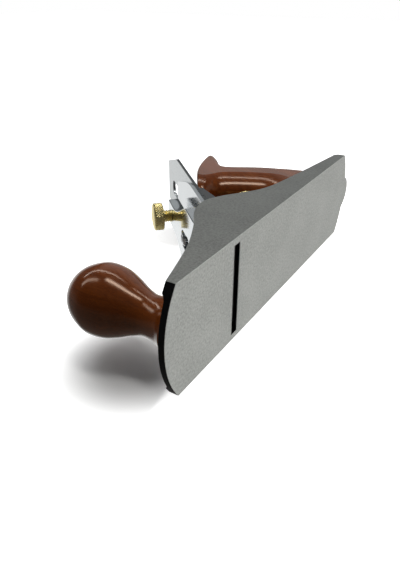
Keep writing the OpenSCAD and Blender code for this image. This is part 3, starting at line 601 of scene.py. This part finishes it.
# The head's underside and top, from the screw's tip
low, top = 21 - THUMB_N, 28 - THUMB_N
line = [(0.3, 0), (2.6, 0), (4.15, 1.2), (4.15, low - 0.9), (3.75, low - 0.85), (3.75, low - 0.25),
        (5.6, low - 0.2), (8.0, low), (8.9, low + 0.25), (9.38, low + 0.8), (9.38, top - 1.3),
        (8.9, top - 0.75), (8.2, top - 0.4), (6.6, top - 0.05), (4.6, top + 0.25), (2.4, top + 0.5),
        (0.4, top + 0.68)]
v, f = turned(line, thumb_place, 336, {2: ("thread", 1.6, 0.6), 9: ("knurl", 34, 0.55, 1.65)})
thumb = piece("thumb_screw_knurled", v, f, brass, "thumb_screw_body")
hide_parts("thumb_screw")

# Depth wheel, turned and knurled, on its stud
back = -9.0
wheel_line = [(3.55, back + 1), (4.6, back), (8.6, back), (9.4, back + 0.4), (10, back + 1.2),
              (11.6, back + 1.2), (12.6, back), (14.2, back), (15, back + 0.8), (15, -3.6),
              (14.2, -2.8), (9.2, -2.8), (8.4, -2.2), (8.4, 2.2), (9, 2.8), (9.7, 2.8),
              (10.2, 3.3), (10.2, 4.3), (9.7, 4.8), (3.55, 4.8)]
WHEEL_X, WHEEL_Z, WHEEL_TEETH = -33, 43, 84


def wheel_place(a, b, h):
    return (WHEEL_X + h, a, WHEEL_Z + b)


v, f = turned(wheel_line, wheel_place, WHEEL_TEETH * 6, {8: ("knurl", WHEEL_TEETH, 0.4, 1.12)}, True)
wheel = piece("depth_wheel_knurled", v, f, brass, "wheel_body")
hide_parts("depth_wheel")

# Lever cap: rounded outline and edges, hollow below, keyhole and thumb screw boss. Its side
# runs in from the shoulders to the top, by the share that is left at each place up the bed.
CAP_HALF, CAP_TOP_HALF, CAP_FOOT, CAP_TOP, CAP_EDGE = 22.5, 8, 9, 117, 0.55
cap_side = [(14, 1), (56, 1), (64.2, 0.897), (70.3, 0.71), (76.2, 0.49), (80.9, 0.335),
            (85.5, 0.2), (90, 0.095), (95, 0.03), (101, 0), (111, 0)]


def cap_line(inset):
    """The outline set in from the cap's own, as (y, s)."""
    wide, narrow = CAP_HALF - inset, CAP_TOP_HALF - inset
    foot, end = CAP_FOOT + inset, CAP_TOP - inset
    pts = [(wide - 1.8, foot), (wide - 0.9, foot + 0.25), (wide - 0.25, foot + 0.9), (wide, foot + 1.8)]
    pts += spline([(narrow + c * (CAP_HALF - CAP_TOP_HALF), s) for s, c in cap_side], 6)
    pts += [(narrow, end - 1.2), (narrow - 0.09, end - 0.74), (narrow - 0.35, end - 0.35),
            (narrow - 0.74, end - 0.09), (narrow - 1.2, end)]
    return pts + [(-y, s) for y, s in pts[::-1]]


def cap_front(s):
    """How far out of the bed the cap's front lies: it slopes up behind the foot, then is flat."""
    return 9.3 + (s - CAP_FOOT) * (15 - 9.3) / 27 if s < 36 else 15.0


# From the underside, past the rounded edge, to the front
levels = [(None, 0.0)] + [(CAP_EDGE * (1 - math.sin(a)), CAP_EDGE * (1 - math.cos(a)))
                          for a in [math.radians(d) for d in (0, 18, 36, 54, 72, 90)]]
cap_points = []
for drop, inset in levels:
    for y, s in cap_line(inset):
        bottom = 7.5 if s < 13 else 8.0
        front = cap_front(s)
        n = bottom if drop is None else front - drop * min(1, (front - bottom) / 4)
        cap_points.append(bed(n, y, s))
cap_faces = skin(len(levels), len(cap_line(0)))
cap = piece("lever_cap_plated", cap_points, cap_faces, chrome, "lever_cap_body")
WALL = 3.0
wedge_side = [(6, 15), (8.4, 15), (11.5, 35), (11.5, 97), (6, 97)]


def on_cap(a, b, h):
    return bed(h, a, b)


hollow = tool(*prism(cap_line(WALL), 6, 11.5, on_cap))
keep = tool(*prism(wedge_side, -40, 40, lambda a, b, h: bed(a, h, b)))
combine(hollow, "INTERSECT", keep)
KEYHOLE_FOOT, KEYHOLE_TOP = 55, 67
cut(cap, hollow,
    tool(*prism(slot_line(3.4, KEYHOLE_FOOT, KEYHOLE_TOP), 0, 20, on_cap)),
    tool(*prism(circle(6.3, KEYHOLE_FOOT), 0, 20, on_cap)),
    tool(*prism(slot_line(5.6, KEYHOLE_FOOT, KEYHOLE_TOP), 13.3, 20, on_cap)),
    tool(*prism(circle(4.3, THUMB_S), 0, 20, on_cap)))
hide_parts("lever_cap")

# Floors: one under the sole, one under the cheek that the plane lies on in the photograph.
# Each shows from its front only, and only to the camera. They take shadows beside the plane,
# but below the sole and farther away they glow white of themselves: painted light that hides the shadows
# there.
# Places where the floor keeps its shadows, in metres: x, z, the radii between which the
# floor's painted glow fades in, and the painted glow that is left in them
SHADOWS = ((0.106, 0.034, 0.014, 0.052, 0.0), (-0.036, 0.102, 0.0, 0.030, 0.5))


def glow_mask(nt):
    """Where the floor glows white of itself, as painted light: below the sole and outside the shadows'
    places.
    """
    x, y, z = axes(nt)
    below = step(nt, z, 0.012, 0.002)
    lit = 1.0
    for sx, sz, near, far, least in SHADOWS:
        dx, dz = maths(nt, "SUBTRACT", x, sx), maths(nt, "SUBTRACT", z, sz)
        reach = maths(nt, "SQRT", maths(nt, "MULTIPLY_ADD", dx, dx, maths(nt, "MULTIPLY", dz, dz)))
        past = maths(nt, "MAXIMUM", step(nt, reach, near, far), least)
        lit = maths(nt, "MULTIPLY", lit, past)
    return maths(nt, "MAXIMUM", below, lit)


def floor(name, corners):
    mesh = bpy.data.meshes.new(name)
    mesh.from_pydata(corners, [], [(0, 1, 2, 3)])
    o = bpy.data.objects.new(name, mesh)
    scene.collection.objects.link(o)
    mt = bpy.data.materials.new(name)
    mt.use_nodes = True
    nt = mt.node_tree
    nt.nodes.clear()
    out = nt.nodes.new("ShaderNodeOutputMaterial")
    paper = nt.nodes.new("ShaderNodeBsdfDiffuse")
    paper.inputs[0].default_value = (0.80, 0.805, 0.805, 1)
    # painted light: the floor glows white where glow_mask says
    glow = nt.nodes.new("ShaderNodeEmission")
    glow.inputs[0].default_value = (1, 1, 1, 1)
    nt.links.new(glow_mask(nt), glow.inputs[1])
    both = nt.nodes.new("ShaderNodeAddShader")
    nt.links.new(paper.outputs[0], both.inputs[0])
    nt.links.new(glow.outputs[0], both.inputs[1])
    hidden = nt.nodes.new("ShaderNodeBsdfTransparent")
    geo = nt.nodes.new("ShaderNodeNewGeometry")
    lp = nt.nodes.new("ShaderNodeLightPath")
    front = maths(nt, "SUBTRACT", 1.0, geo.outputs["Backfacing"])
    show = maths(nt, "MULTIPLY", front, lp.outputs["Is Camera Ray"])
    nt.links.new(either(nt, show, hidden, both), out.inputs[0])
    mesh.materials.append(mt)


# The floors' half size and their places, in metres
REACH, UNDER_SOLE, UNDER_CHEEK = 3.0, -0.6 * MM, -(HALF_WIDTH + 0.3) * MM
floor("floor_under_sole", [(-REACH, -REACH, UNDER_SOLE), (REACH, -REACH, UNDER_SOLE),
                           (REACH, REACH, UNDER_SOLE), (-REACH, REACH, UNDER_SOLE)])
floor("floor_under_cheek", [(-REACH, UNDER_CHEEK, REACH), (REACH, UNDER_CHEEK, REACH),
                            (REACH, UNDER_CHEEK, -REACH), (-REACH, UNDER_CHEEK, -REACH)])

# World: white to the camera, a pale floor and a dimmer room in reflections, little fill
world = bpy.data.worlds.new("studio")
scene.world = world
world.use_nodes = True
nt = world.node_tree
nt.nodes.clear()
out = nt.nodes.new("ShaderNodeOutputWorld")
tc = nt.nodes.new("ShaderNodeTexCoord")
toward = tc.outputs["Generated"]
sep = nt.nodes.new("ShaderNodeSeparateXYZ")
nt.links.new(toward, sep.inputs[0])
x, y, z = sep.outputs
# Seen in reflections: a room that is darker ahead, over the toe and overhead, and a pale floor
room = mix(nt, step(nt, x, -0.25, 0.45), (0.345, 0.36, 0.362), (0.05, 0.052, 0.055))
room = mix(nt, step(nt, z, 0.55, 0.70), room, (0.05, 0.055, 0.055))
room = mix(nt, step(nt, y, 0.62, 0.80), room, (0.10, 0.105, 0.11))
pale = mix(nt, step(nt, x, -0.35, 0.10), (0.93, 0.94, 0.93), (0.10, 0.10, 0.10))
# The floor above the sole lies in the plane's own shadow, but for the stretch that the cap shows
stretch = nt.nodes.new("ShaderNodeVectorMath")
stretch.operation = "DOT_PRODUCT"
nt.links.new(toward, stretch.inputs[0])
stretch.inputs[1].default_value = Vector((-0.49, -0.43, 0.75)).normalized()
off_stretch = step(nt, stretch.outputs["Value"], 0.91, 0.80)
shaded = maths(nt, "MULTIPLY", step(nt, z, -0.30, -0.05), off_stretch)
pale = mix(nt, shaded, pale, (0.15, 0.14, 0.13))
seen = mix(nt, step(nt, y, 0.10, -0.12), room, pale)
# Diffuse light: broad from behind, little from ahead and overhead, a little from below
fill = mix(nt, step(nt, x, -0.75, -0.20), (1.9, 1.93, 1.97), (0.015, 0.0155, 0.0165))
fill = mix(nt, step(nt, y, 0.70, 0.88), fill, (0.12, 0.122, 0.124))
fill = mix(nt, step(nt, y, 0.05, -0.35), fill, (0.14, 0.143, 0.148))
sky_seen, sky_fill, sky_white = [nt.nodes.new("ShaderNodeBackground") for k in range(3)]
nt.links.new(seen, sky_seen.inputs[0])
nt.links.new(fill, sky_fill.inputs[0])
sky_white.inputs[0].default_value = (1, 1, 1, 1)
lp = nt.nodes.new("ShaderNodeLightPath")
unseen = either(nt, lp.outputs["Is Glossy Ray"], sky_fill, sky_seen)
nt.links.new(either(nt, lp.outputs["Is Camera Ray"], unseen.node, sky_white), out.inputs[0])


def strip(name, start, end, width, radiance):
    """A long lamp seen from the plane between two directions."""
    distance = 1.5
    a, b = Vector(start).normalized() * distance, Vector(end).normalized() * distance
    mid, along = (a + b) / 2, b - a
    d = bpy.data.lights.new(name, "AREA")
    d.shape = "RECTANGLE"
    d.size, d.size_y = along.length, width
    d.energy = radiance * math.pi * along.length * width
    d.color = (1.0, 0.985, 0.96)
    o = bpy.data.objects.new(name, d)
    scene.collection.objects.link(o)
    x = along.normalized()
    y = mid.normalized().cross(x).normalized()
    turn = Matrix((x, y, x.cross(y))).transposed().to_4x4()
    o.matrix_world = Matrix.Translation(mid + Vector((0.06, 0, 0.04))) @ turn


strip("overhead_lamp", (-0.05, 0.98, 0.18), (-0.07, 0.95, -0.30), 0.22, 9.4)
strip("front_lamp", (0.12, 0.92, 0.38), (0.26, 0.45, 0.86), 0.22, 3.2)
strip("back_lamp", (-0.10, 0.38, 0.92), (-0.49, 0.87, -0.02), 0.06, 7.5)

# Camera of the photograph: its picture's size, middle and focal length in pixels
WIDTH, HEIGHT, MIDDLE_X, MIDDLE_Y, FOCAL = 400, 570, 199.75, 284.44, 518.29
cam = bpy.data.cameras.new("camera")
co = bpy.data.objects.new("camera", cam)
scene.collection.objects.link(co)
scene.camera = co
right = Vector((-0.522836, 0.003081, -0.852428)).normalized()
forward = Vector((-0.739603, -0.498833, 0.451832)).normalized()
down = forward.cross(right).normalized()
turn = Matrix((right, -down, -forward)).transposed()
co.matrix_world = Matrix.Translation((0.2682642, 0.137388, -0.1054151)) @ turn.to_4x4()
cam.sensor_width = 36
cam.sensor_fit = "AUTO"
cam.lens = FOCAL * cam.sensor_width / HEIGHT
cam.shift_x = (WIDTH / 2 - MIDDLE_X) / HEIGHT
cam.shift_y = -(HEIGHT / 2 - MIDDLE_Y) / HEIGHT
cam.clip_start = 0.01
cam.clip_end = 50

scene.view_settings.view_transform = "Standard"
